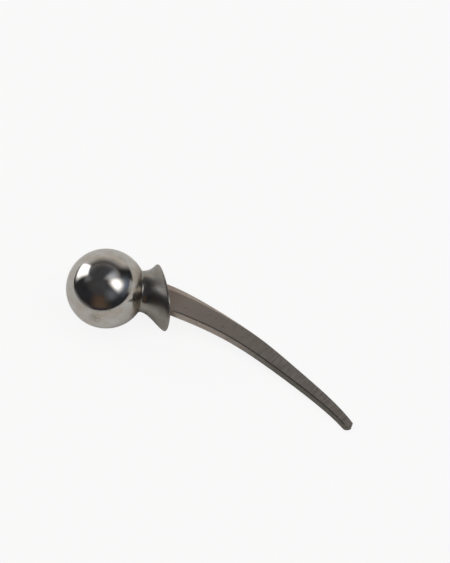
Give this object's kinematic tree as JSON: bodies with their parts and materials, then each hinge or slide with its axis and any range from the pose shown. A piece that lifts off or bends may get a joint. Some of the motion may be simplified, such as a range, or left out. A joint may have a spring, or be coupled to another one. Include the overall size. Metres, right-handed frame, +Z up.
{
  "type": "hip implant stem",
  "caption": "Hip hemiarthroplasty implant with a fixed, polished ball head, waisted neck, flared oval collar and a curved, tapering blade stem.",
  "frame": {"origin": "under the middle of the bounding box, on the surface the implant lies on", "axes": "+X along the implant from the ball head to the tip, +Z up, +Y to the lateral, convex side of the stem"},
  "size_m": [0.178, 0.0504, 0.0445],
  "materials": {
    "cast_alloy": "mirror-polished head, satin neck, collar and stem"
  },
  "bodies": {
    "root": {"hip_stem": "cast_alloy"}
  },
  "joints": []
}
